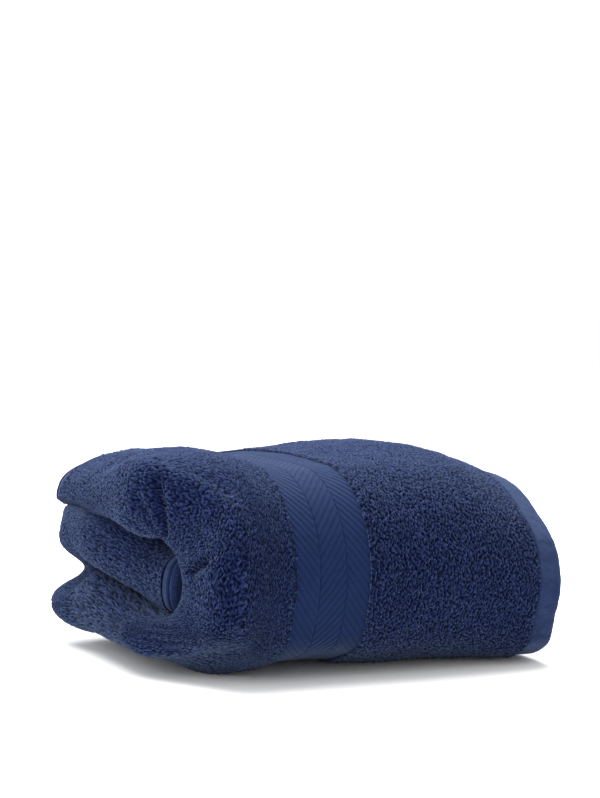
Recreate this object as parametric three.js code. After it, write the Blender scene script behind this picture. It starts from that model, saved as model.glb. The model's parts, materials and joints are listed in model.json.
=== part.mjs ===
// Folded terry bath towel. One long cloth is folded in half and in half again along its length,
// which makes a stack of four plies, and the stack is then folded in thirds like a letter.
// The row frame: X runs along the towel's length, with the end hems at +X and the doubled folds
// at -X. The round front fold faces -Y, Z is up, and the origin is the middle of the footprint on
// the surface that the towel lies on. All sizes are in millimetres.

import * as THREE from "three";

// ---- driving dimensions ----

const FOLDED_LENGTH = 350; // hem end to doubled-fold end, along X
const FOLDED_DEPTH = 258; // front fold to back fold, along Y
const PLY_PITCH = 13.4; // one ply of thick terry as it lies in the stack
const TOP_EDGE_SETBACK = 12; // the top panel's free edge stops this far short of the back fold
const FLAP_EDGE_SETBACK = 0.6; // the tucked-in flap's free edge stops this far behind the bend line
const END_HEM = 25; // turned and sewn hem across each end of the cloth
const TERRY_END = 150; // terry between the end hem and the woven border
const BORDER = 67; // flat dobby border
const SIDE_HEM = 12; // turned and sewn hem along each long side
const LINKING_FOLD_SETBACK = 3; // the inner plies' fold stops this far short of the hem end
const LIFT_LIMIT_DEG = 45; // how far the top panel lifts before the front fold unrolls
const CLEARANCE = 0.3; // gap between neighbouring pieces
const FOLD_CORE = 0.3; // inner radius of a ply folded flat on itself

const FOLD_STEPS = 14; // facets round each half-turn of the letter fold
const BEND_STEPS = 10; // facets round each half-turn of a ply at the ends

// ---- sizes that follow from them ----

const PLIES = 4;
const STACK = PLIES * PLY_PITCH;
const HALF_GAP = CLEARANCE / 2;
const FRONT_RADIUS = 1.5 * STACK; // the front fold wraps the inner flap
const BACK_RADIUS = STACK; // the back fold closes on itself
const BEND_LINE_Y = -FOLDED_DEPTH / 2 + FRONT_RADIUS + HALF_GAP;
const BACK_FOLD_Y = FOLDED_DEPTH / 2 - BACK_RADIUS;
const TOP_Z = 3 * STACK;
const HEM_END_X = FOLDED_LENGTH / 2;
const DOUBLED_FOLD_X = -FOLDED_LENGTH / 2 + STACK / 2;
const LINKING_FOLD_X = HEM_END_X - PLY_PITCH - LINKING_FOLD_SETBACK;
const HEM_X = HEM_END_X - END_HEM;
const BORDER_HEM_SIDE_X = HEM_X - TERRY_END;
const BORDER_FIELD_SIDE_X = BORDER_HEM_SIDE_X - BORDER;

// ---- materials ----

function cotton(name, color, roughness) {
  return new THREE.MeshStandardMaterial({ name, color, roughness, metalness: 0 });
}

const terry = cotton("terry", 0x1c2545, 0.97);
const dobby = cotton("dobby", 0x202e51, 0.8);
const hem = cotton("hem", 0x303d62, 0.85);

// ---- the letter fold ----
// A station is one cross-section of the folded stack. It turns a depth, measured inwards from
// the towel's outer face, into the Y and Z of that layer.

function frontFoldStation(turn) {
  return (depth) => {
    const radius = FRONT_RADIUS - depth;
    return [BEND_LINE_Y - HALF_GAP - radius * Math.sin(turn), FRONT_RADIUS + radius * Math.cos(turn)];
  };
}

function backFoldStation(turn) {
  return (depth) => {
    const radius = BACK_RADIUS - depth;
    return [BACK_FOLD_Y + radius * Math.sin(turn), BACK_RADIUS - radius * Math.cos(turn)];
  };
}

function topPanelStation(y) {
  return (depth) => [y, TOP_Z - depth];
}

function innerFlapStation(y) {
  return (depth) => [y, 2 * STACK - depth];
}

function halfTurn(station, steps) {
  return Array.from({ length: steps + 1 }, (_, i) => station((Math.PI * i) / steps));
}

const TOP_EDGE_Y = FOLDED_DEPTH / 2 - TOP_EDGE_SETBACK;
const FLAP_EDGE_Y = BEND_LINE_Y + FLAP_EDGE_SETBACK;

// The top panel, from the bend line back to where its side hem starts.
const topPanel = [
  topPanelStation(BEND_LINE_Y + HALF_GAP),
  topPanelStation(TOP_EDGE_Y - SIDE_HEM - HALF_GAP),
];

// The rest of the stack: front fold, bottom panel, back fold and inner flap.
const lowerStack = [
  ...halfTurn(frontFoldStation, FOLD_STEPS),
  ...halfTurn(backFoldStation, FOLD_STEPS),
  innerFlapStation(FLAP_EDGE_Y + SIDE_HEM + HALF_GAP),
];

const topSideHem = [
  topPanelStation(TOP_EDGE_Y - SIDE_HEM + HALF_GAP),
  topPanelStation(TOP_EDGE_Y),
];

const flapSideHem = [
  innerFlapStation(FLAP_EDGE_Y + SIDE_HEM - HALF_GAP),
  innerFlapStation(FLAP_EDGE_Y),
];

// ---- sections of cloth, as closed outlines of X and depth ----

// The two faces of ply number `ply`, counted from the towel's outer face.
function plyFaces(ply) {
  const outer = ply === 0 ? 0 : ply * PLY_PITCH + HALF_GAP;
  const inner = (ply + 1) * PLY_PITCH - HALF_GAP;
  return [outer, inner];
}

function flatSection(ply, lowX, highX, lowIsFree, highIsFree) {
  const [outer, inner] = plyFaces(ply);
  const low = lowIsFree ? lowX : lowX + HALF_GAP;
  const high = highIsFree ? highX : highX - HALF_GAP;
  return [[low, outer], [high, outer], [high, inner], [low, inner]];
}

// A ply that turns back on itself at one end: side is -1 for the doubled-fold end, 1 for the hem
// end, and the two plies that it links are outerPly and innerPly.
function bendSection(outerPly, innerPly, centreX, side) {
  const [outerFace, outerInside] = plyFaces(outerPly);
  const innerFace = plyFaces(innerPly)[1];
  const centre = (outerPly + innerPly + 1) * PLY_PITCH / 2;
  const insideRadius = Math.max(FOLD_CORE, centre - outerInside);
  const outline = [];
  for (let i = 0; i <= BEND_STEPS; i++) {
    const turn = (Math.PI * i) / BEND_STEPS;
    const radius = Math.cos(turn) > 0 ? centre - outerFace : innerFace - centre;
    outline.push([centreX + side * (centre - outerFace) * Math.sin(turn), centre - radius * Math.cos(turn)]);
  }
  for (let i = BEND_STEPS; i >= 0; i--) {
    const turn = (Math.PI * i) / BEND_STEPS;
    outline.push([centreX + side * insideRadius * Math.sin(turn), centre - insideRadius * Math.cos(turn)]);
  }
  return outline;
}

// Runs an outline of X and depth through the stations and closes both ends.
function sweep(outline, stations) {
  const flat = outline.map(([x, depth]) => new THREE.Vector2(x, depth));
  const ring = THREE.ShapeUtils.isClockWise(flat) ? [...outline].reverse() : outline;
  const count = ring.length;
  const positions = [];
  for (const station of stations) {
    for (const [x, depth] of ring) {
      positions.push(x, ...station(depth));
    }
  }
  const faces = [];
  for (let s = 0; s + 1 < stations.length; s++) {
    for (let i = 0; i < count; i++) {
      const here = s * count + i;
      const beside = s * count + ((i + 1) % count);
      faces.push(here, beside, beside + count);
      faces.push(here, beside + count, here + count);
    }
  }
  const last = (stations.length - 1) * count;
  const cap = THREE.ShapeUtils.triangulateShape(ring.map(([x, depth]) => new THREE.Vector2(x, depth)), []);
  for (const [a, b, c] of cap) {
    faces.push(a, c, b);
    faces.push(last + a, last + b, last + c);
  }
  const geometry = new THREE.BufferGeometry();
  geometry.setAttribute("position", new THREE.Float32BufferAttribute(positions, 3));
  geometry.setIndex(faces);
  geometry.computeVertexNormals();
  return geometry;
}

// The geometry faces out once its volume is positive.
function facingOut(geometry) {
  const point = geometry.getAttribute("position");
  const index = geometry.getIndex().array;
  const [a, b, c] = [new THREE.Vector3(), new THREE.Vector3(), new THREE.Vector3()];
  let volume = 0;
  for (let i = 0; i < index.length; i += 3) {
    a.fromBufferAttribute(point, index[i]);
    b.fromBufferAttribute(point, index[i + 1]);
    c.fromBufferAttribute(point, index[i + 2]);
    volume += a.dot(b.cross(c));
  }
  if (volume < 0) {
    geometry.setIndex(Array.from(index).reverse());
    geometry.computeVertexNormals();
  }
  return geometry;
}

function clothPiece(name, outline, stations, material) {
  const mesh = new THREE.Mesh(facingOut(sweep(outline, stations)), material);
  mesh.name = name;
  return mesh;
}

// ---- the cloth from end to end ----
// The plies are numbered from the outside: 0 is the outer ply, which carries the first end hem
// and border, 1 carries the second, and 2 and 3 are the plain middle of the cloth.

const OUTER = 0;
const SECOND = 1;
const THIRD = 2;
const INNER = 3;

function hemmedPly(prefix, ply) {
  return [
    [prefix + "_end_hem", flatSection(ply, HEM_X, HEM_END_X, false, true), hem],
    [prefix + "_end_terry", flatSection(ply, BORDER_HEM_SIDE_X, HEM_X, false, false), terry],
    [prefix + "_border", flatSection(ply, BORDER_FIELD_SIDE_X, BORDER_HEM_SIDE_X, false, false), dobby],
    [prefix + "_field_terry", flatSection(ply, DOUBLED_FOLD_X, BORDER_FIELD_SIDE_X, false, false), terry],
  ];
}

const zones = [
  ...hemmedPly("outer_ply", OUTER),
  ["outer_doubled_fold", bendSection(OUTER, INNER, DOUBLED_FOLD_X, -1), terry],
  ["inner_ply_terry", flatSection(INNER, DOUBLED_FOLD_X, LINKING_FOLD_X, false, false), terry],
  ["linking_fold", bendSection(THIRD, INNER, LINKING_FOLD_X, 1), terry],
  ["third_ply_terry", flatSection(THIRD, DOUBLED_FOLD_X, LINKING_FOLD_X, false, false), terry],
  ["inner_doubled_fold", bendSection(SECOND, THIRD, DOUBLED_FOLD_X, -1), terry],
  ...hemmedPly("second_ply", SECOND),
];

// A side hem runs the whole length of the cloth, past both ends and round every bend.
const sideHemZones = [
  ["outer_ply", flatSection(OUTER, DOUBLED_FOLD_X, HEM_END_X, false, true)],
  ["outer_bend", bendSection(OUTER, INNER, DOUBLED_FOLD_X, -1)],
  ["inner_ply", flatSection(INNER, DOUBLED_FOLD_X, LINKING_FOLD_X, false, false)],
  ["linking_bend", bendSection(THIRD, INNER, LINKING_FOLD_X, 1)],
  ["third_ply", flatSection(THIRD, DOUBLED_FOLD_X, LINKING_FOLD_X, false, false)],
  ["inner_bend", bendSection(SECOND, THIRD, DOUBLED_FOLD_X, -1)],
  ["second_ply", flatSection(SECOND, DOUBLED_FOLD_X, HEM_END_X, false, true)],
];

// ---- assembly ----

const towel = new THREE.Group();
towel.name = "folded_bath_towel";

const foldedStack = new THREE.Group();
foldedStack.name = "folded_stack_group";
const liftingPanel = new THREE.Group();
liftingPanel.name = "top_panel_group";
towel.add(foldedStack, liftingPanel);

// The top panel turns about the bend line on the towel's top face, up to LIFT_LIMIT_DEG.
liftingPanel.userData.hinge = {
  y: BEND_LINE_Y,
  z: TOP_Z,
  limitDegrees: LIFT_LIMIT_DEG,
};

for (const [name, outline, material] of zones) {
  foldedStack.add(clothPiece("stack_" + name, outline, lowerStack, material));
  liftingPanel.add(clothPiece("panel_" + name, outline, topPanel, material));
}
for (const [name, outline] of sideHemZones) {
  foldedStack.add(clothPiece("flap_side_hem_" + name, outline, flapSideHem, hem));
  liftingPanel.add(clothPiece("panel_side_hem_" + name, outline, topSideHem, hem));
}

export default towel;
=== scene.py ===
import json
import math

import bpy
import numpy as np
from mathutils import Matrix, Vector


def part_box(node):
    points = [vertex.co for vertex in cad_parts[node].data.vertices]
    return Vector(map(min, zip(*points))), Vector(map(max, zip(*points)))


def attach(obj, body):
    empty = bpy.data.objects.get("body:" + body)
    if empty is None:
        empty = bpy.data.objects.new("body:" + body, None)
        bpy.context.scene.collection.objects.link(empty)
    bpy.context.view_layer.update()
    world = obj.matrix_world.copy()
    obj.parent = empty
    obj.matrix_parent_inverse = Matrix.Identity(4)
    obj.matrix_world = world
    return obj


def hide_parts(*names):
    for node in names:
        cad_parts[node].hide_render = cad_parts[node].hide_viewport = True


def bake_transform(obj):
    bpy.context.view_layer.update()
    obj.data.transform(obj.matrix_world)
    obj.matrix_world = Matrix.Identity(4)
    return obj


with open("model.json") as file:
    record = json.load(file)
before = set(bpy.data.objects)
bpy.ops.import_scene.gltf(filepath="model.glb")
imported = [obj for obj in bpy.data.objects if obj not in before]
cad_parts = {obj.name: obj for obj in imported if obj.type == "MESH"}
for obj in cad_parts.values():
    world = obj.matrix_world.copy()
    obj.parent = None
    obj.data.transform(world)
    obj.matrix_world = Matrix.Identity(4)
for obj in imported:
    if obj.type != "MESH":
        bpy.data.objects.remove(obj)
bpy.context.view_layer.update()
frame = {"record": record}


# ---- Camera, floor and light ----
# The towel lies on plain white paper under a wide soft light from above, and a weaker one from the
# left fills the shade at its doubled end. The camera stands low in front of it and a little to the
# left, so that the round front fold and the doubled folds both show. Lengths here are in metres.

AIM = Vector((0.0, 0.0, 0.060))
VIEW_AZIMUTH, VIEW_HEIGHT, VIEW_DISTANCE = math.radians(-27.0), math.radians(9.0), 1.60
VIEW_ROLL, VIEW_RAISE, VIEW_TURN = math.radians(1.5), math.radians(5.27), math.radians(-0.09)
LENS_MM, SENSOR_MM = 88.0, 36.0
NEAREST, FARTHEST = 0.05, 50.0

camera_data = bpy.data.cameras.new("camera")
camera_data.lens = LENS_MM
camera_data.sensor_width = SENSOR_MM
camera_data.clip_start, camera_data.clip_end = NEAREST, FARTHEST
camera = bpy.data.objects.new("camera", camera_data)
bpy.context.scene.collection.objects.link(camera)
bpy.context.scene.camera = camera
back = Vector((
    math.sin(VIEW_AZIMUTH) * math.cos(VIEW_HEIGHT),
    -math.cos(VIEW_AZIMUTH) * math.cos(VIEW_HEIGHT),
    math.sin(VIEW_HEIGHT),
))
camera.matrix_world = (
    Matrix.Translation(AIM + back * VIEW_DISTANCE)
    @ (-back).to_track_quat("-Z", "Y").to_matrix().to_4x4()
    @ Matrix.Rotation(VIEW_ROLL, 4, "Z")
    @ Matrix.Rotation(VIEW_RAISE, 4, "X")
    @ Matrix.Rotation(VIEW_TURN, 4, "Y")
)

scene = bpy.context.scene
scene.view_settings.view_transform = "Standard"

FLOOR_HALF = 12.0
PAPER_COLOUR, PAPER_ROUGHNESS, PAPER_GLOSS = (0.95, 0.95, 0.95, 1), 0.9, 0.1
ROOM_COLOUR, ROOM_STRENGTH = (1, 1, 1, 1), 1.06

floor_mesh = bpy.data.meshes.new("floor")
floor_mesh.from_pydata(
    [(-FLOOR_HALF, -FLOOR_HALF, 0), (FLOOR_HALF, -FLOOR_HALF, 0),
     (FLOOR_HALF, FLOOR_HALF, 0), (-FLOOR_HALF, FLOOR_HALF, 0)],
    [], [(0, 1, 2, 3)])
floor = bpy.data.objects.new("floor", floor_mesh)
scene.collection.objects.link(floor)
paper = bpy.data.materials.new("white_paper")
paper.use_nodes = True
paper_shader = paper.node_tree.nodes["Principled BSDF"]
paper_shader.inputs["Base Color"].default_value = PAPER_COLOUR
paper_shader.inputs["Roughness"].default_value = PAPER_ROUGHNESS
paper_shader.inputs["Specular IOR Level"].default_value = PAPER_GLOSS
floor_mesh.materials.append(paper)

world = bpy.data.worlds.new("studio")
world.use_nodes = True
room = world.node_tree.nodes["Background"]
room.inputs["Color"].default_value = ROOM_COLOUR
room.inputs["Strength"].default_value = ROOM_STRENGTH
scene.world = world


def soft_light(name, place, aim, width, depth, power):
    data = bpy.data.lights.new(name, "AREA")
    data.shape = "RECTANGLE"
    data.size, data.size_y = width, depth
    data.energy = power
    lamp = bpy.data.objects.new(name, data)
    lamp.location = place
    lamp.rotation_mode = "QUATERNION"
    lamp.rotation_quaternion = (Vector(aim) - Vector(place)).to_track_quat("-Z", "Y")
    scene.collection.objects.link(lamp)


soft_light("overhead", place=(-0.1, 0.6, 1.7), aim=(0, 0.05, 0.05),
           width=2.2, depth=1.8, power=74.0)
soft_light("left_fill", place=(-2.4, -0.3, 1.2), aim=(-0.1, 0, 0.08),
           width=1.5, depth=1.5, power=17.0)


# ---- End terry ----
# Looped cotton of the outer ply, between the end hem and the woven border. Its loops stand in
# crowded, untidy rows, and overhang the border and the hem by a little.

# The towel is one cloth in four plies, doubled twice along its length, and the stack is folded in
# thirds like a letter. A place on it has an X, a way round the letter fold and a depth below the
# towel's outer face, all in millimetres, as a towel maker works.
MM = 0.001


def size_of(node, axis):
    low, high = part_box(node)
    return low[axis] / MM, high[axis] / MM


panel_z = size_of("panel_outer_ply_field_terry", 2)
stack_y = size_of("stack_outer_ply_field_terry", 1)
border_x = size_of("panel_outer_ply_border", 0)
hem_x = size_of("panel_outer_ply_end_hem", 0)
fold_x = size_of("panel_outer_doubled_fold", 0)
side_hem_y = size_of("panel_side_hem_outer_ply", 1)
link_x = size_of("panel_linking_fold", 0)

HEIGHT = panel_z[1]
STACK = HEIGHT / 3
PLY = STACK / 4
BEND_LINE = frame["record"]["behaviour"]["joints"][0]["pos_m"][1] / MM
FRONT_RADIUS = 1.5 * STACK
BACK_FOLD = stack_y[1] - STACK
TOP_EDGE = side_hem_y[1]
SIDE_HEM = side_hem_y[1] - side_hem_y[0]
FLAP_EDGE = size_of("flap_side_hem_outer_ply", 1)[0]
DOUBLED_X = fold_x[0] + STACK / 2
HEM_END = hem_x[1]
HEM_START = hem_x[0]
BORDER_START, BORDER_END = border_x
LINK_X = link_x[1] - PLY

TOP_RUN = TOP_EDGE - BEND_LINE
FRONT_RUN = math.pi * FRONT_RADIUS
BOTTOM_RUN = BACK_FOLD - BEND_LINE
BACK_RUN = math.pi * STACK
FLAP_RUN = BACK_FOLD - FLAP_EDGE
RUNS = np.cumsum([0, TOP_RUN, FRONT_RUN, BOTTOM_RUN, BACK_RUN, FLAP_RUN])


def ease(t):
    t = np.clip(t, 0, 1)
    return t * t * (3 - 2 * t)


def letter_fold(way, depth):
    """Y and Z at a way round the fold, measured on the outer face from the top panel's edge."""
    way, depth = np.broadcast_arrays(way, depth)
    y = np.empty(way.shape)
    z = np.empty(way.shape)
    on = way < RUNS[1]
    y[on], z[on] = TOP_EDGE - way[on], HEIGHT - depth[on]
    on = (way >= RUNS[1]) & (way < RUNS[2])
    turn = (way[on] - RUNS[1]) / FRONT_RADIUS
    radius = FRONT_RADIUS - depth[on]
    y[on], z[on] = BEND_LINE - radius * np.sin(turn), FRONT_RADIUS + radius * np.cos(turn)
    on = (way >= RUNS[2]) & (way < RUNS[3])
    y[on], z[on] = BEND_LINE + way[on] - RUNS[2], depth[on]
    on = (way >= RUNS[3]) & (way < RUNS[4])
    turn = (way[on] - RUNS[3]) / STACK
    radius = STACK - depth[on]
    y[on], z[on] = BACK_FOLD + radius * np.sin(turn), STACK - radius * np.cos(turn)
    on = way >= RUNS[4]
    y[on], z[on] = BACK_FOLD - way[on] + RUNS[4], 2 * STACK - depth[on]
    return y, z


def hill(value, middle, half_width):
    return np.exp(-(((value - middle) / half_width) ** 2))


def settle(x, y, z, way, depth):
    """How soft cloth lies: higher over the doubled folds, lower and rounder at the hems.
    Each line moves one region smoothly, by the millimetres or the share that it names."""
    x0, y0, z0 = x, y, z
    high = ease((z0 - 55) / 90)
    end = ease((x0 - 60) / 115)
    left = ease((-x0 - 95) / 60)
    rear = ease((y0 - 45) / 60)
    inward = left * ease((way - RUNS[4] - 15) / 95)

    # The top is highest over the end terry, dips beside the border and falls to both ends.
    scale = 1 + 0.05 * ease((-x0 - 25) / 90) - 0.10 * ease((x0 - 105) / 80)
    scale = scale - 0.012 * hill(x0, -52, 26) + 0.052 * hill(x0, 80, 62) * ease((y0 + 60) / 80)
    scale = scale - 0.10 * ease((-x0 - 85) / 95) * ease((z0 - 60) / 60) * ease((y0 + 60) / 110)
    z = z0 * scale - 5 * ease((y0 - 20) / 100) * high
    z = z - 4 * ease((y0 - 20) / 80) * hill(x0, -92, 42) * high

    # The front fold is squarer at the hem end and slumps forward at its foot.
    z = z - (13 * end + 1.5) * hill(y0, -88, 40) * ease((z0 - 50) / 80)
    y = y0 + 8 * end * ease((z0 - 50) / 50) * ease((-y0 - 60) / 50)
    y = y - 6 * hill(y0, -108, 26) * hill(z0, 14, 30)
    y = y - 20 * end * hill(z0, 0, 26) * ease((-y0 - 50) / 22)
    x = x0 - (5 * ease((100 - z0) / 70) - 3) * ease((x0 - 90) / 80)

    # The doubled end is drawn in at the front, and pinched where one layer lies on the next.
    x = x + 36 * ease((-x0 - 62) / 92) * ease((-y0 - 35) / 70) + 6 * left
    x = x + 27 * left * rear * hill(z0, STACK - 2, 13) - 8 * left * rear * hill(z0, 22, 20)

    # Below the top panel the crease between it and the flap is filled out by the soft cloth.
    flap = ease((way - RUNS[3]) / 40)
    filled = ease((-x0 - 108) / 40) * ease((y0 + 20) / 70) * hill(z0, 2 * STACK, 8 + 10 * flap)
    x = x - 0.88 * filled * np.clip(x0 + 173 + 3 * flap, 0, None)

    # Its lowest roll curls up off the table, and the rolls above it are set up or down.
    z = z + (15 - 5 * rear) * ease((-x0 - 100) / 62) * ease((75 - z0) / 75)
    z = z + left * hill(z0, 82, 42) * (20 * ease((y0 + 50) / 120) - 7)
    z = z + 5 * left * hill(z0, 2 * STACK, 24) * ease((y0 + 30) / 60)
    z = z - 6 * ease((-x0 - 132) / 35) * ease((y0 + 20) / 60) * ease((z0 - 100) / 35)
    corner = left * ease((z0 - 90) / 45) * ease((-y0 - 10) / 85)
    x = x + 8 * corner * ease((-x0 - 130) / 40)
    z = z - 8 * corner
    z = z - left * hill(z0, STACK, 28) * (10 * ease((50 - y0) / 90) + 6 * rear)

    # The flap's own end is pulled into the fold, and pinched.
    x = x + 29 * inward
    y = y - 10 * inward
    z = z - 0.22 * (z0 - STACK) * inward

    # Between its ends the front fold is stuffed full: its inner plies reach back to the flap.
    stuffed = ease(2 * depth / STACK - 1) * hill(x0, 5, 88)
    y = y + 0.94 * stuffed * np.clip(BEND_LINE - y0, 0, None)

    # The underside arches a little below the border.
    z = z + 6 * hill(x0, -25, 48) * hill(y0, -85, 40) * ease((40 - z0) / 40)
    return x, y, z


def on_cloth(x, way, depth):
    """Places on the settled towel, in metres."""
    x, way, depth = np.broadcast_arrays(np.asarray(x, float), way, depth)
    y, z = letter_fold(way, depth)
    return np.stack(settle(x, y, z, way, depth), -1) * MM


def chance(a, b, salt):
    """A fixed random number from 0 to 1 for each whole a and b."""
    n = a.astype(np.int64) * 73856093 ^ b.astype(np.int64) * 19349663 ^ (salt * 83492791)
    n = (n ^ (n >> 13)) * 1274126177 & 0x7FFFFFFF
    n = (n ^ (n >> 16)) * 668265263 & 0x7FFFFFFF
    return ((n >> 7) & 0xFFFF) / 65535.0


def drift(u, w, span, salt):
    """Smooth random hills from -1 to 1, `span` apart."""
    a, b = u / span, w / span
    i, j = np.floor(a), np.floor(b)
    f, g = ease(a - i), ease(b - j)
    c00, c10 = chance(i, j, salt), chance(i + 1, j, salt)
    c01, c11 = chance(i, j + 1, salt), chance(i + 1, j + 1, salt)
    return ((c00 * (1 - f) + c10 * f) * (1 - g) + (c01 * (1 - f) + c11 * f) * g) * 2 - 1


# Both faces of the terry carry rows of cotton loops, about 1.6 mm across, 3.4 mm long and up to
# 2 mm high, which lie along the towel's width and lean at random. Beside the border the weaver's
# rows stay straight.
LOOP_ACROSS, LOOP_ALONG = 1.62, 2.5  # from one loop to the next
LOOP_HALF_WIDTH, LOOP_HALF_LENGTH = 0.80, 1.70
STRAY_ACROSS, STRAY_ALONG = 0.85, 0.8  # how far a loop stands from its place, as a share of it
ROW_SHIFT = 0.35
LEAN = 1.7  # radians, from the farthest lean one way to the farthest the other way
PILE = 2.0
SHORTEST = 0.62  # the shortest loops' share of the pile
STRAIGHT_BAND, TIDINESS = 75, 0.7  # width beside the border, and how straight the rows get there


def loops(u, w, order):
    """Height of the pile from 0 to 1. u and w run along and across the cloth, in millimetres."""
    best = np.zeros(u.shape)
    column = np.floor(u / LOOP_ACROSS)
    for dc in (-1, 0, 1):
        c = column + dc
        stagger = 0.5 * (c % 2) + ROW_SHIFT * (chance(c, c * 0, 3) - 0.5)
        row = np.floor(w / LOOP_ALONG - stagger)
        for dr in (-1, 0, 1):
            r = row + dr
            loose = 1 - TIDINESS * order
            mid_u = (c + 0.5 + STRAY_ACROSS * loose * (chance(c, r, 1) - 0.5)) * LOOP_ACROSS
            mid_w = (r + 0.5 + stagger + STRAY_ALONG * (chance(c, r, 2) - 0.5)) * LOOP_ALONG
            lean = (chance(c, r, 4) - 0.5) * LEAN * loose
            tall = SHORTEST + (1 - SHORTEST) * chance(c, r, 5)
            du, dw = u - mid_u, w - mid_w
            along = dw * np.cos(lean) + du * np.sin(lean)
            across = du * np.cos(lean) - dw * np.sin(lean)
            cap = 1 - (across / LOOP_HALF_WIDTH) ** 2 - (along / LOOP_HALF_LENGTH) ** 2
            best = np.maximum(best, tall * np.sqrt(np.clip(cap, 0, 1)))
    return best


def terry_relief(u, w, x):
    """Pile height in millimetres and the loop mask, for places u, w on the cloth."""
    order = ease(1 - (BORDER_START - x) / STRAIGHT_BAND) * (x < BORDER_START + 2)
    wander = 0.6 * drift(u, w, 9, 21) + 1.1 * drift(u, w, 31, 22)
    mask = loops(u + (1 - TIDINESS * order) * wander, w, order)
    swell = 0.55 * drift(u, w, 13, 23) + 0.9 * drift(u, w, 37, 24)
    return PILE * mask + swell, mask


# Each zone of cloth is a closed strip: an outline of X and depth, carried round the letter fold.
SKIN = 0.4  # half the gap between one ply and the next
ROOT = 1.3  # depth of the loops' feet below the outer face
HIDDEN = 20.0  # mesh step on faces that lie against another ply
EDGE_ROUND = 3.5  # radius of the cloth's own long edges
COVERED_PILE = 0.35
SMOOTH_TURN = 0.6  # cosine of the sharpest turn in an outline that is still shaded smooth
FLOOR_GAP = 0.0003  # metres from the table to the lowest loops


def line(a, b, step):
    count = max(2, int(round(math.dist(a, b) / step)) + 1)
    return np.linspace(a, b, count)


def steps(start, end, step):
    count = max(2, int(round((end - start) / step)) + 1)
    return np.linspace(start, end, count)


def outline_of(parts):
    """An outline from runs of (points, is_face): its outward normals, length and sharp corners."""
    points, face = [], []
    for run, seen in parts:
        for p in run:
            if not points or math.dist(points[-1], p) > 1e-6:
                points.append(p)
                face.append(seen)
            elif seen:
                face[-1] = True
    points, face = np.array(points), np.array(face)
    ahead = np.roll(points, -1, 0) - points
    ahead /= np.linalg.norm(ahead, axis=1)[:, None]
    behind = np.roll(ahead, 1, 0)
    tangent = ahead + behind
    normal = np.stack([-tangent[:, 1], tangent[:, 0]], 1)
    normal /= np.maximum(np.linalg.norm(normal, axis=1), 1e-9)[:, None]
    sharp = (ahead * behind).sum(1) < SMOOTH_TURN
    length = np.concatenate([[0], np.cumsum(np.linalg.norm(np.diff(points, axis=0), axis=1))])
    return points, normal, length, face, sharp


def volume_of(mesh):
    mesh.calc_loop_triangles()
    corners = np.empty(3 * len(mesh.loop_triangles), np.int32)
    mesh.loop_triangles.foreach_get("vertices", corners)
    co = np.empty(3 * len(mesh.vertices))
    mesh.vertices.foreach_get("co", co)
    a, b, c = co.reshape(-1, 3)[corners.reshape(-1, 3)].transpose(1, 0, 2)
    return float(np.einsum("ij,ij->i", a, np.cross(b, c)).sum())


def cloth_strip(name, parts, ways, relief, material, round_edge=None):
    """Carries an outline through the ways, with relief(u, w, x) raised along its normals.
    round_edge is the way at which the cloth's own edge is rounded over."""
    points, normal, length, face, sharp = outline_of(parts)
    rows, cols = len(ways), len(points)
    x = np.broadcast_to(points[:, 0], (rows, cols))
    depth = np.broadcast_to(points[:, 1], (rows, cols))
    way = np.broadcast_to(ways[:, None], (rows, cols))
    u = np.broadcast_to(points[0, 0] - length, (rows, cols))
    height, mask = relief(u, way, x)
    height = np.where(face, height, 0)
    mask = np.where(face, mask, COVERED_PILE)
    if round_edge is not None:
        part = np.clip(1 - np.abs(way - round_edge) / EDGE_ROUND, 0, 1)
        height = height * (1 - part) - EDGE_ROUND * (1 - np.sqrt(1 - part * part))
    place = on_cloth(x + normal[:, 0] * height, way, depth + normal[:, 1] * height)
    place[..., 2] = np.maximum(place[..., 2], FLOOR_GAP)
    index = np.arange(rows * cols).reshape(rows, cols)
    nxt = np.roll(index, -1, 1)
    quads = np.stack([index[:-1], index[1:], nxt[1:], nxt[:-1]], -1).reshape(-1, 4)
    mesh = bpy.data.meshes.new(name)
    mesh.vertices.add(rows * cols)
    mesh.vertices.foreach_set("co", place.ravel())
    corners = np.concatenate([quads.ravel(), index[0], index[-1][::-1]])
    mesh.loops.add(len(corners))
    mesh.loops.foreach_set("vertex_index", corners.astype(np.int32))
    mesh.polygons.add(len(quads) + 2)
    starts = np.concatenate([np.arange(len(quads)) * 4, [quads.size, quads.size + cols]])
    mesh.polygons.foreach_set("loop_start", starts.astype(np.int32))
    smooth = np.ones(len(quads) + 2, bool)
    smooth[-2:] = False
    mesh.polygons.foreach_set("use_smooth", smooth)
    mesh.update(calc_edges=True)
    if volume_of(mesh) < 0:
        mesh.flip_normals()
    uv = mesh.uv_layers.new(name="cloth")
    corner = np.empty(len(mesh.loops), np.int32)
    mesh.loops.foreach_get("vertex_index", corner)
    flat = np.stack([u.ravel(), way.ravel()], 1)[corner] * MM
    uv.data.foreach_set("uv", flat.ravel().astype(np.float32))
    # The pile value also sets the colour: painted shade where it is low, painted light where high.
    pile = mesh.attributes.new("pile", "FLOAT", "POINT")
    pile.data.foreach_set("value", mask.ravel().astype(np.float32))
    ends = np.empty(2 * len(mesh.edges), np.int32)
    mesh.edges.foreach_get("vertices", ends)
    row, col = (ends.reshape(-1, 2) // cols).T, (ends.reshape(-1, 2) % cols).T
    rim = (row[0] == row[1]) & ((row[0] == 0) | (row[0] == rows - 1))
    corner_line = (col[0] == col[1]) & sharp[col[0]]
    edges = mesh.attributes.new("sharp_edge", "BOOLEAN", "EDGE")
    edges.data.foreach_set("value", rim | corner_line)
    mesh.materials.append(material)
    piece = bpy.data.objects.new(name, mesh)
    scene.collection.objects.link(piece)
    return piece
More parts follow.
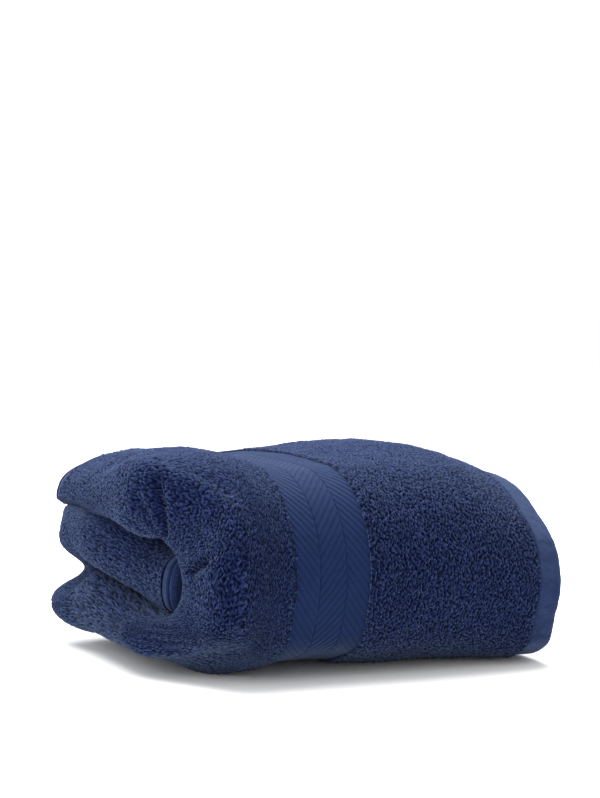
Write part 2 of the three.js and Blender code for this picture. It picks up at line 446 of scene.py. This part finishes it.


# All the yarn is one navy dye lot. Loops are fuzzy at their tips; their colour has painted light
# on the tips and painted shade down between them. The flat weaves show their fine yarns, and less
# fuzz.
MOTTLE_SCALE, MOTTLE_DETAIL = 55.0, 4.0
FIBRE_SCALE, FIBRE_DETAIL, FIBRE_STRETCH = 1050.0, 2.0, 0.42
COTTON_GLOSS = 0.03
FUZZ_TINT, FUZZ_ROUGHNESS = (0.52, 0.69, 1.0, 1), 0.47
FUZZ_ON_TIPS, FUZZ_BETWEEN = 1.25, 0.25
DARK_BELOW, MID_AT, LIGHT_ABOVE = 0.05, 0.55, 0.95
MOTTLE_SHARE, WEAVE_SHARE, BUMP_STRENGTH = 0.55, 0.35, 0.6


def link(tree, a, b):
    tree.links.new(a, b)


def yarn_group():
    """Fine yarn bumps and dye variation, from the cloth's own UV map."""
    group = bpy.data.node_groups.new("yarn", "ShaderNodeTree")
    for name, default in (("Yarn Pitch", 0.0006), ("Unevenness", 0.5)):
        socket = group.interface.new_socket(name, in_out="INPUT", socket_type="NodeSocketFloat")
        socket.default_value = default
    for name in ("Weave", "Mottle", "Fibre"):
        group.interface.new_socket(name, in_out="OUTPUT", socket_type="NodeSocketFloat")
    nodes = group.nodes
    given, out = nodes.new("NodeGroupInput"), nodes.new("NodeGroupOutput")
    uv = nodes.new("ShaderNodeUVMap")
    uv.uv_map = "cloth"
    split = nodes.new("ShaderNodeSeparateXYZ")
    link(group, uv.outputs["UV"], split.inputs[0])
    waves = []
    for axis in ("X", "Y"):
        share = nodes.new("ShaderNodeMath")
        share.operation = "DIVIDE"
        link(group, split.outputs[axis], share.inputs[0])
        link(group, given.outputs["Yarn Pitch"], share.inputs[1])
        turn = nodes.new("ShaderNodeMath")
        turn.operation = "MULTIPLY"
        turn.inputs[1].default_value = math.tau
        link(group, share.outputs[0], turn.inputs[0])
        wave = nodes.new("ShaderNodeMath")
        wave.operation = "SINE"
        link(group, turn.outputs[0], wave.inputs[0])
        waves.append(wave)
    weave = nodes.new("ShaderNodeMath")
    weave.operation = "MULTIPLY"
    link(group, waves[0].outputs[0], weave.inputs[0])
    link(group, waves[1].outputs[0], weave.inputs[1])
    link(group, weave.outputs[0], out.inputs["Weave"])
    mottle = nodes.new("ShaderNodeTexNoise")
    mottle.inputs["Scale"].default_value = MOTTLE_SCALE
    mottle.inputs["Detail"].default_value = MOTTLE_DETAIL
    link(group, uv.outputs["UV"], mottle.inputs["Vector"])
    centred = nodes.new("ShaderNodeMath")
    centred.operation = "MULTIPLY_ADD"
    link(group, mottle.outputs["Fac"], centred.inputs[0])
    link(group, given.outputs["Unevenness"], centred.inputs[1])
    centred.inputs[2].default_value = 0.5
    link(group, centred.outputs[0], out.inputs["Mottle"])
    stretch = nodes.new("ShaderNodeVectorMath")
    stretch.operation = "MULTIPLY"
    stretch.inputs[1].default_value = (1.0, FIBRE_STRETCH, 1.0)
    link(group, uv.outputs["UV"], stretch.inputs[0])
    fibre = nodes.new("ShaderNodeTexNoise")
    fibre.inputs["Scale"].default_value = FIBRE_SCALE
    fibre.inputs["Detail"].default_value = FIBRE_DETAIL
    link(group, stretch.outputs[0], fibre.inputs["Vector"])
    link(group, fibre.outputs["Fac"], out.inputs["Fibre"])
    return group


YARN = yarn_group()


def cotton(name, painted_shade, mid, painted_light, pitch, bump, streak, fuzz, roughness):
    """A dyed cotton. Its three colours go down in the gaps, between and on top; the first is
    painted shade and the last painted light. pitch and bump are its yarns' spacing and height, in
    metres."""
    made = bpy.data.materials.new(name)
    made.use_nodes = True
    tree = made.node_tree
    nodes = tree.nodes
    shader = nodes["Principled BSDF"]
    shader.inputs["Roughness"].default_value = roughness
    shader.inputs["Specular IOR Level"].default_value = COTTON_GLOSS
    shader.inputs["Sheen Roughness"].default_value = FUZZ_ROUGHNESS
    shader.inputs["Sheen Tint"].default_value = FUZZ_TINT
    yarn = nodes.new("ShaderNodeGroup")
    yarn.node_tree = YARN
    yarn.inputs["Yarn Pitch"].default_value = pitch
    height = nodes.new("ShaderNodeAttribute")
    height.attribute_name = "pile"
    tips = nodes.new("ShaderNodeMath")
    tips.operation = "MULTIPLY_ADD"
    link(tree, height.outputs["Fac"], tips.inputs[0])
    tips.inputs[1].default_value = FUZZ_ON_TIPS * fuzz
    tips.inputs[2].default_value = FUZZ_BETWEEN * fuzz
    link(tree, tips.outputs[0], shader.inputs["Sheen Weight"])
    lifted = nodes.new("ShaderNodeMath")
    lifted.operation = "MULTIPLY_ADD"
    link(tree, yarn.outputs["Fibre"], lifted.inputs[0])
    lifted.inputs[1].default_value = streak
    link(tree, height.outputs["Fac"], lifted.inputs[2])
    shifted = nodes.new("ShaderNodeMath")
    shifted.operation = "SUBTRACT"
    link(tree, lifted.outputs[0], shifted.inputs[0])
    shifted.inputs[1].default_value = streak / 2
    # Painted light and shade: the colour follows the pile value, dark where it is low and light
    # where it is high.
    ramp = nodes.new("ShaderNodeValToRGB")
    ramp.color_ramp.elements[0].position = DARK_BELOW
    ramp.color_ramp.elements[0].color = (*painted_shade, 1)
    ramp.color_ramp.elements[1].position = LIGHT_ABOVE
    ramp.color_ramp.elements[1].color = (*painted_light, 1)
    middle = ramp.color_ramp.elements.new(MID_AT)
    middle.color = (*mid, 1)
    link(tree, shifted.outputs[0], ramp.inputs["Fac"])
    tone = nodes.new("ShaderNodeMix")
    tone.data_type = "RGBA"
    tone.blend_type = "MULTIPLY"
    tone.inputs["Factor"].default_value = MOTTLE_SHARE
    link(tree, ramp.outputs["Color"], tone.inputs["A"])
    grey = nodes.new("ShaderNodeCombineColor")
    for channel in ("Red", "Green", "Blue"):
        link(tree, yarn.outputs["Mottle"], grey.inputs[channel])
    link(tree, grey.outputs["Color"], tone.inputs["B"])
    link(tree, tone.outputs["Result"], shader.inputs["Base Color"])
    relief = nodes.new("ShaderNodeMath")
    relief.operation = "MULTIPLY_ADD"
    link(tree, yarn.outputs["Weave"], relief.inputs[0])
    relief.inputs[1].default_value = WEAVE_SHARE
    link(tree, yarn.outputs["Fibre"], relief.inputs[2])
    bumps = nodes.new("ShaderNodeBump")
    bumps.inputs["Strength"].default_value = BUMP_STRENGTH
    bumps.inputs["Distance"].default_value = bump
    link(tree, relief.outputs[0], bumps.inputs["Height"])
    link(tree, bumps.outputs["Normal"], shader.inputs["Normal"])
    return made


terry = cotton("navy_terry", painted_shade=(0.0004, 0.0014, 0.010), mid=(0.0042, 0.0092, 0.047),
               painted_light=(0.022, 0.037, 0.128), pitch=0.0009, bump=0.0007,
               streak=1.7, fuzz=0.26, roughness=0.95)

SEAM = RUNS[2] + 10  # the way, just under the towel, where a zone's two lengths meet


def top_ways(step):
    """Over the top panel, down the front fold and just under the towel."""
    return steps(SIDE_HEM, SEAM, step)


def under_ways(step):
    """Under the towel, up the back fold and in along the flap, coarser where less is seen."""
    return np.concatenate([steps(SEAM, RUNS[3], 3 * step)[:-1], steps(RUNS[3], RUNS[4], step),
                           steps(RUNS[4], RUNS[5] - SIDE_HEM, 1.4 * step)[1:]])


def bends(piece):
    """Bakes the piece's placement into its own mesh."""
    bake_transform(piece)


HEMS = {"panel_": [], "stack_": []}  # hems and stitches, listed by the prefix of the parts that they replace


def zone(name, nodes, parts, way_step, relief, material, finish, coarse=1.0):
    """One zone of cloth in two lengths: the one over the top panel and down the front fold, and
    the rest, which goes with the folded stack.
    """
    top = cloth_strip(name + "_top", parts, top_ways(way_step), relief, material)
    bends(top)
    under = cloth_strip(name + "_under", parts, under_ways(way_step * coarse), relief, material)
    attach(under, "folded_stack")
    for piece, body in ((top, "panel_"), (under, "stack_")):
        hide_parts(*[body + node for node in nodes])
        if finish != "hem":
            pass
        else:
            HEMS[body].append(piece)


OVERHANG = 0.9
END_STEP, END_WAY_STEP = 0.68, 0.93
end_start, end_finish = HEM_START + OVERHANG, BORDER_END - OVERHANG
zone("end_terry", ["outer_ply_end_terry"],
     [(line((end_start, ROOT), (end_finish, ROOT), END_STEP), True),
      (line((end_finish, PLY - SKIN), (end_start, PLY - SKIN), HIDDEN), False)],
     END_WAY_STEP, terry_relief, terry, "terry")


# ---- Field terry ----
# The main field of the outer ply, looped like the end terry, from the border's other side to the
# doubled end, where the cloth turns back under itself as a fat soft roll.

FIELD_STEP, FIELD_WAY_STEP, UNDER_COARSER = 0.73, 0.95, 1.15
ROLL_STEP = 4
ROLL_FULLNESS = 0.58  # below 1, a doubled end is fuller than half a circle


def half_ring(x, depth, radius, side, step, backwards=False):
    """Half a turn at a doubled end, from the shallow ply round to the deep one."""
    count = max(4, int(round(math.pi * radius / step)) + 1)
    turn = np.linspace(0, math.pi, count)
    reach = radius * np.sin(turn) ** ROLL_FULLNESS
    ring = np.stack([x + side * reach, depth - radius * np.cos(turn)], 1)
    return ring[::-1] if backwards else ring


def dent(u, w, start, end, half_width):
    """1 along the line from start to end on the cloth, falling to 0 a few half widths away."""
    du, dw = end[0] - start[0], end[1] - start[1]
    share = np.clip(((u - start[0]) * du + (w - start[1]) * dw) / (du * du + dw * dw), 0, 1)
    away = np.hypot(u - start[0] - share * du, w - start[1] - share * dw)
    return hill(away, 0, half_width)


def field_relief(u, w, x):
    """Loops, and the creases where the doubled end is drawn round the front fold."""
    height, mask = terry_relief(u, w, x)
    creases = 4.0 * dent(u, w, (-176, 178), (-208, 206), 4.6)
    creases = creases + 1.7 * dent(u, w, (-190, 168), (-216, 198), 4.4)
    creases = creases + 1.2 * dent(u, w, (-206, 158), (-226, 190), 4.4)
    creases = creases + 4.5 * dent(u, w, (-186, 268), (-200, 273), 4.6)
    creases = creases + 2.0 * dent(u, w, (-172, 262), (-186, 268), 4.0)
    pulled = hill(u, -200, 26) * hill(w, 380, 24)
    creases = creases - 1.5 * pulled * np.cos(math.tau * (u + 0.25 * w) / 13)
    swell = 1.6 * hill(u, -150, 26) * drift(u, w, 19, 71)
    # Painted shade: the colour is darkened a little along the creases.
    return height - creases + swell, mask - 0.05 * creases


zone("field_terry", ["outer_ply_field_terry", "outer_doubled_fold"],
     [(line((BORDER_START + OVERHANG, ROOT), (DOUBLED_X, ROOT), FIELD_STEP), True),
      (half_ring(DOUBLED_X, 2 * PLY, 2 * PLY - ROOT, -1, FIELD_STEP), True),
      (half_ring(DOUBLED_X, 2 * PLY, PLY + SKIN, -1, ROLL_STEP, backwards=True), False),
      (line((DOUBLED_X, PLY - SKIN), (BORDER_START + OVERHANG, PLY - SKIN), HIDDEN), False)],
     FIELD_WAY_STEP, field_relief, terry, "terry", UNDER_COARSER)


# ---- Woven border ----
# The dobby border is a flat band without loops, woven in three columns of slanting ribs that
# lean one way, then the other. A narrow plain groove parts one column from the next.

RIB_PITCH, RIB_RISE, RIB_SLOPE = 7.9, 0.55, 1.35
YARN_RISE, YARN_ACROSS, YARN_ALONG = 0.10, 1.05, 1.5
GROOVE_HALF_WIDTH, GROOVE_UNEVENNESS = 0.75, 0.45
BORDER_DEPTH = 2.3
BORDER_STEP, BORDER_WAY_STEP = 0.5, 0.8
COLUMN = (BORDER_END - BORDER_START) / 3

dobby = cotton("navy_dobby", painted_shade=(0.0023, 0.0054, 0.027), mid=(0.0061, 0.0143, 0.058),
               painted_light=(0.012, 0.025, 0.084), pitch=0.0007, bump=0.00025,
               streak=0.5, fuzz=0.18, roughness=0.80)


def border_relief(u, w, x):
    across = (x - BORDER_START) / COLUMN
    column = np.clip(np.floor(across), 0, 2)
    lean = np.where(column == 1, 1.0, -1.0)
    offset = (across - column) * COLUMN
    slant = RIB_SLOPE * lean * offset
    phase = (w + slant + 0.25 * drift(u, w, 11, 41)) / RIB_PITCH + 0.3 * column
    rib = np.sqrt(np.abs(np.sin(math.pi * phase)))
    edge = np.minimum(offset, COLUMN - offset)
    groove = ease(edge / (GROOVE_HALF_WIDTH + GROOVE_UNEVENNESS * drift(u * 0, w, 3.1, 42)))
    yarns = YARN_RISE * np.sin(math.tau * u / YARN_ACROSS) * np.sin(math.tau * w / YARN_ALONG)
    height = (rib * RIB_RISE + yarns) * groove - 0.15 * (1 - groove) + 0.5 * drift(u, w, 37, 24)
    # Painted light and shade: the colour follows the height, darker in the grooves and down
    # between ribs and yarns, lighter on their tops.
    return height, 0.34 + (0.34 * rib + 0.9 * yarns - 0.07) * groove + 0.12


zone("woven_border", ["outer_ply_border"],
     [(line((BORDER_END, BORDER_DEPTH), (BORDER_START, BORDER_DEPTH), BORDER_STEP), True),
      (line((BORDER_START, PLY - SKIN), (BORDER_END, PLY - SKIN), HIDDEN), False)],
     BORDER_WAY_STEP, border_relief, dobby, "dobby")


# ---- End hems ----
# The towel's end is turned in twice and sewn flat, without loops. The end of the second ply
# shows just below the outer one.

HEM_DEPTH = 1.4
SEWN_LINE, SEWN_HALF_WIDTH = 2.4, 1.2  # where the stitches pull the hem down
HEM_STEP, HEM_WAY_STEP = 0.9, 1.2
SECOND_HEM_STEP, SECOND_HEM_WAY_STEP = 1.2, 1.6

plain = cotton("navy_plain_weave", painted_shade=(0.003, 0.007, 0.031), mid=(0.0130, 0.0245, 0.082),
               painted_light=(0.023, 0.039, 0.113), pitch=0.0006, bump=0.00055,
               streak=1.0, fuzz=0.23, roughness=0.82)


def hem_relief(u, w, x):
    sewn = hill(x, HEM_START + SEWN_LINE, SEWN_HALF_WIDTH)
    puckers = 0.22 * drift(u * 0.4, w, 7, 51) + 0.35 * drift(u, w, 29, 52)
    # Painted shade: the colour is darker along the dent where the stitches pull the hem down.
    return puckers - 0.55 * sewn, 0.62 - 0.35 * sewn + 0.1 * drift(u, w, 5, 53)


def hem_outline(shallow, deep, step):
    radius = (deep - shallow) / 2
    return [(half_ring(HEM_END - radius, shallow + radius, radius, 1, step, True), True),
            (line((HEM_END - radius, shallow), (HEM_START, shallow), step), True),
            (line((HEM_START, deep), (HEM_END - radius, deep), HIDDEN), False)]


zone("end_hem", ["outer_ply_end_hem"], hem_outline(HEM_DEPTH, PLY - SKIN, HEM_STEP),
     HEM_WAY_STEP, hem_relief, plain, "hem")
zone("second_end_hem", ["second_ply_end_hem"],
     hem_outline(PLY + SKIN, 2 * PLY - SKIN, SECOND_HEM_STEP),
     SECOND_HEM_WAY_STEP, hem_relief, plain, "hem")


# ---- Side hems ----
# The towel's long edges are narrow rolled hems, one at the top panel's back edge and one at the
# flap's edge inside the front fold. Every ply ends in one, and it follows the doubled folds.

SIDE_STEP, SIDE_WAY_STEP, HIDDEN_ROLL_STEP = 1.5, 0.6, 3
TURNED_IN, TURN_HALF_WIDTH, TURN_DEPTH = 4.6, 1.1, 2.2  # the groove where the roll ends
HEM_TUCK = 1  # the side hems stop this far short of the end hem


def inner_outline(x_end, step, root):
    """From the innermost ply's face round both folds to the second ply, and back inside."""
    return [
        (line((DOUBLED_X, 4 * PLY - root), (LINK_X, 4 * PLY - root), step), True),
        (half_ring(LINK_X, 3 * PLY, PLY - root, 1, step, backwards=True), True),
        (line((LINK_X, 2 * PLY + root), (DOUBLED_X, 2 * PLY + SKIN), HIDDEN), False),
        (line((DOUBLED_X, 2 * PLY - SKIN), (x_end, 2 * PLY - SKIN), HIDDEN), False),
        (line((x_end, PLY + SKIN), (DOUBLED_X, PLY + SKIN), HIDDEN), False),
        (half_ring(DOUBLED_X, 2 * PLY, PLY - SKIN, -1, HIDDEN_ROLL_STEP), False),
        (line((DOUBLED_X, 3 * PLY - SKIN), (LINK_X, 3 * PLY - SKIN), HIDDEN), False),
        (line((LINK_X, 3 * PLY + SKIN), (DOUBLED_X, 3 * PLY + SKIN), HIDDEN), False),
    ]


def side_hem_relief(u, w, x):
    puckers = 0.2 * drift(u, w * 0.5, 6, 61) + 0.3 * drift(u, w, 23, 62)
    turned = hill(w, RUNS[5] - TURNED_IN, TURN_HALF_WIDTH)
    turned = turned + hill(w, RUNS[0] + TURNED_IN, TURN_HALF_WIDTH)
    # Painted shade: the colour is darker in the groove where the roll ends.
    return puckers - TURN_DEPTH * turned, 0.6 + 0.1 * drift(u, w, 5, 63) - 0.5 * turned


def side_hem(name, prefix, ways, edge):
    x_end = HEM_END - HEM_TUCK
    outline = [
        (line((x_end, HEM_DEPTH), (DOUBLED_X, HEM_DEPTH), SIDE_STEP), True),
        (half_ring(DOUBLED_X, 2 * PLY, 2 * PLY - HEM_DEPTH, -1, SIDE_STEP), True),
        *inner_outline(x_end, SIDE_STEP, HEM_DEPTH),
        (half_ring(DOUBLED_X, 2 * PLY, PLY + SKIN, -1, HIDDEN_ROLL_STEP, backwards=True), False),
        (line((DOUBLED_X, PLY - SKIN), (x_end, PLY - SKIN), HIDDEN), False),
    ]
    piece = cloth_strip(name, outline, ways, side_hem_relief, plain, round_edge=edge)
    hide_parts(*[prefix + ply for ply in (
        "outer_ply", "outer_bend", "inner_ply", "linking_bend", "third_ply", "inner_bend",
        "second_ply")])
    return piece


side_hem_top = side_hem(
    "side_hem_top", "panel_side_hem_", steps(0, SIDE_HEM, SIDE_WAY_STEP), 0)
bends(side_hem_top)
HEMS["panel_"].append(side_hem_top)
side_hem_flap = side_hem(
    "side_hem_flap", "flap_side_hem_",
    steps(RUNS[5] - SIDE_HEM, RUNS[5], SIDE_WAY_STEP), RUNS[5])
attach(side_hem_flap, "folded_stack")
HEMS["stack_"].append(side_hem_flap)


# ---- Hem stitching ----
# The hems are held by lockstitches in navy cotton thread. One row runs along the end hem beside
# the terry's loops, all the way round the fold, and one along each side hem.

STITCH_PITCH, STITCH_LENGTH, THREAD_RADIUS = 2.9, 2.2, 0.26
THREAD_SIDES, THREAD_RINGS = 6, 5
END_SEAM, SIDE_SEAM, SEAM_DEPTH = 3.4, 1.8, HEM_DEPTH + 0.05
SEAM_TAIL = 4  # left unsewn at each end of a row
THREAD_DARK, THREAD_LIGHT = (0.010, 0.020, 0.066, 1), (0.034, 0.054, 0.145, 1)
THREAD_FIBRE_SCALE, THREAD_ROUGHNESS, THREAD_GLOSS = 1500.0, 0.7, 0.15


def stitch_nodes():
    """One short rounded thread on each point, turned along the point's own seam direction."""
    tree = bpy.data.node_groups.new("stitch_row", "GeometryNodeTree")
    face = tree.interface
    face.new_socket("Points", in_out="INPUT", socket_type="NodeSocketGeometry")
    for name in ("Stitch Length", "Thread Radius"):
        face.new_socket(name, in_out="INPUT", socket_type="NodeSocketFloat")
    face.new_socket("Thread", in_out="INPUT", socket_type="NodeSocketMaterial")
    face.new_socket("Stitches", in_out="OUTPUT", socket_type="NodeSocketGeometry")
    nodes = tree.nodes
    given, out = nodes.new("NodeGroupInput"), nodes.new("NodeGroupOutput")
    thread = nodes.new("GeometryNodeMeshUVSphere")
    thread.inputs["Segments"].default_value = THREAD_SIDES
    thread.inputs["Rings"].default_value = THREAD_RINGS
    thread.inputs["Radius"].default_value = 1.0
    along = nodes.new("GeometryNodeInputNamedAttribute")
    along.data_type = "FLOAT_VECTOR"
    along.inputs["Name"].default_value = "seam"
    turned = nodes.new("FunctionNodeAlignRotationToVector")
    turned.axis = "X"
    link(tree, along.outputs["Attribute"], turned.inputs["Vector"])
    half = nodes.new("ShaderNodeMath")
    half.operation = "MULTIPLY"
    half.inputs[1].default_value = 0.5
    link(tree, given.outputs["Stitch Length"], half.inputs[0])
    size = nodes.new("ShaderNodeCombineXYZ")
    link(tree, half.outputs[0], size.inputs["X"])
    link(tree, given.outputs["Thread Radius"], size.inputs["Y"])
    link(tree, given.outputs["Thread Radius"], size.inputs["Z"])
    spread = nodes.new("GeometryNodeInstanceOnPoints")
    link(tree, given.outputs["Points"], spread.inputs["Points"])
    link(tree, thread.outputs["Mesh"], spread.inputs["Instance"])
    link(tree, turned.outputs["Rotation"], spread.inputs["Rotation"])
    link(tree, size.outputs["Vector"], spread.inputs["Scale"])
    real = nodes.new("GeometryNodeRealizeInstances")
    link(tree, spread.outputs["Instances"], real.inputs["Geometry"])
    finish = nodes.new("GeometryNodeSetMaterial")
    link(tree, real.outputs["Geometry"], finish.inputs["Geometry"])
    link(tree, given.outputs["Thread"], finish.inputs["Material"])
    link(tree, finish.outputs["Geometry"], out.inputs["Stitches"])
    return tree


STITCHES = stitch_nodes()


def sewing_thread():
    """Navy thread, its fibres seen as fine uneven streaks."""
    made = bpy.data.materials.new("navy_thread")
    made.use_nodes = True
    nodes = made.node_tree.nodes
    place = nodes.new("ShaderNodeTexCoord")
    fibre = nodes.new("ShaderNodeTexNoise")
    fibre.inputs["Scale"].default_value = THREAD_FIBRE_SCALE
    link(made.node_tree, place.outputs["Object"], fibre.inputs["Vector"])
    ramp = nodes.new("ShaderNodeValToRGB")
    ramp.color_ramp.elements[0].color = THREAD_DARK
    ramp.color_ramp.elements[1].color = THREAD_LIGHT
    link(made.node_tree, fibre.outputs["Fac"], ramp.inputs["Fac"])
    shader = nodes["Principled BSDF"]
    shader.inputs["Roughness"].default_value = THREAD_ROUGHNESS
    shader.inputs["Specular IOR Level"].default_value = THREAD_GLOSS
    link(made.node_tree, ramp.outputs["Color"], shader.inputs["Base Color"])
    return made


THREAD = sewing_thread()


def stitch_row(name, rows):
    """A thread piece from rows of places, in metres, each row one seam."""
    points = np.concatenate([row[1:-1] for row in rows])
    seam = np.concatenate([row[2:] - row[:-2] for row in rows])
    mesh = bpy.data.meshes.new(name)
    mesh.from_pydata(points.tolist(), [], [])
    direction = mesh.attributes.new("seam", "FLOAT_VECTOR", "POINT")
    direction.data.foreach_set("vector", seam.astype(np.float32).ravel())
    piece = bpy.data.objects.new(name, mesh)
    scene.collection.objects.link(piece)
    maker = piece.modifiers.new("stitches", "NODES")
    maker.node_group = STITCHES
    sockets = {item.name: item.identifier for item in STITCHES.interface.items_tree}
    maker[sockets["Stitch Length"]] = STITCH_LENGTH * MM
    maker[sockets["Thread Radius"]] = THREAD_RADIUS * MM
    maker[sockets["Thread"]] = THREAD
    bpy.context.view_layer.update()
    made = bpy.data.meshes.new_from_object(
        piece.evaluated_get(bpy.context.evaluated_depsgraph_get()))
    piece.modifiers.clear()
    piece.data = made
    made.shade_smooth()
    return piece


def end_seam(ways):
    """On the end hem, a little way from the terry's loops, on the outer face."""
    return on_cloth(HEM_START + END_SEAM, ways, SEAM_DEPTH)


def side_seam(way, x0, x1):
    """Along a side hem, on the outer face."""
    return on_cloth(steps(x0, x1, STITCH_PITCH), way, SEAM_DEPTH)


stitches_top = stitch_row("hem_stitches_top", [
    end_seam(steps(RUNS[0] + SEAM_TAIL, SEAM, STITCH_PITCH)),
    side_seam(SIDE_HEM - SIDE_SEAM, DOUBLED_X, HEM_END - SEAM_TAIL)])
bends(stitches_top)
HEMS["panel_"].append(stitches_top)
stitches_under = stitch_row("hem_stitches_under", [
    end_seam(steps(SEAM, RUNS[5] - SEAM_TAIL, STITCH_PITCH)),
    side_seam(RUNS[5] - SIDE_HEM + SIDE_SEAM, DOUBLED_X, HEM_END - SEAM_TAIL)])
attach(stitches_under, "folded_stack")
HEMS["stack_"].append(stitches_under)


# ---- Inner plies ----
# The rest of the same cloth: the innermost ply, whose loops line the letter fold, the fold that
# links it to the third ply at the hem end, the inner doubled fold, and the second ply.

INNER_STEP, INNER_WAY_STEP = 1.5, 2.0
zone("inner_plies",
     ["inner_ply_terry", "linking_fold", "third_ply_terry", "inner_doubled_fold",
      "second_ply_field_terry", "second_ply_border", "second_ply_end_terry"],
     inner_outline(HEM_START, INNER_STEP, ROOT), INNER_WAY_STEP, terry_relief, terry, "terry")
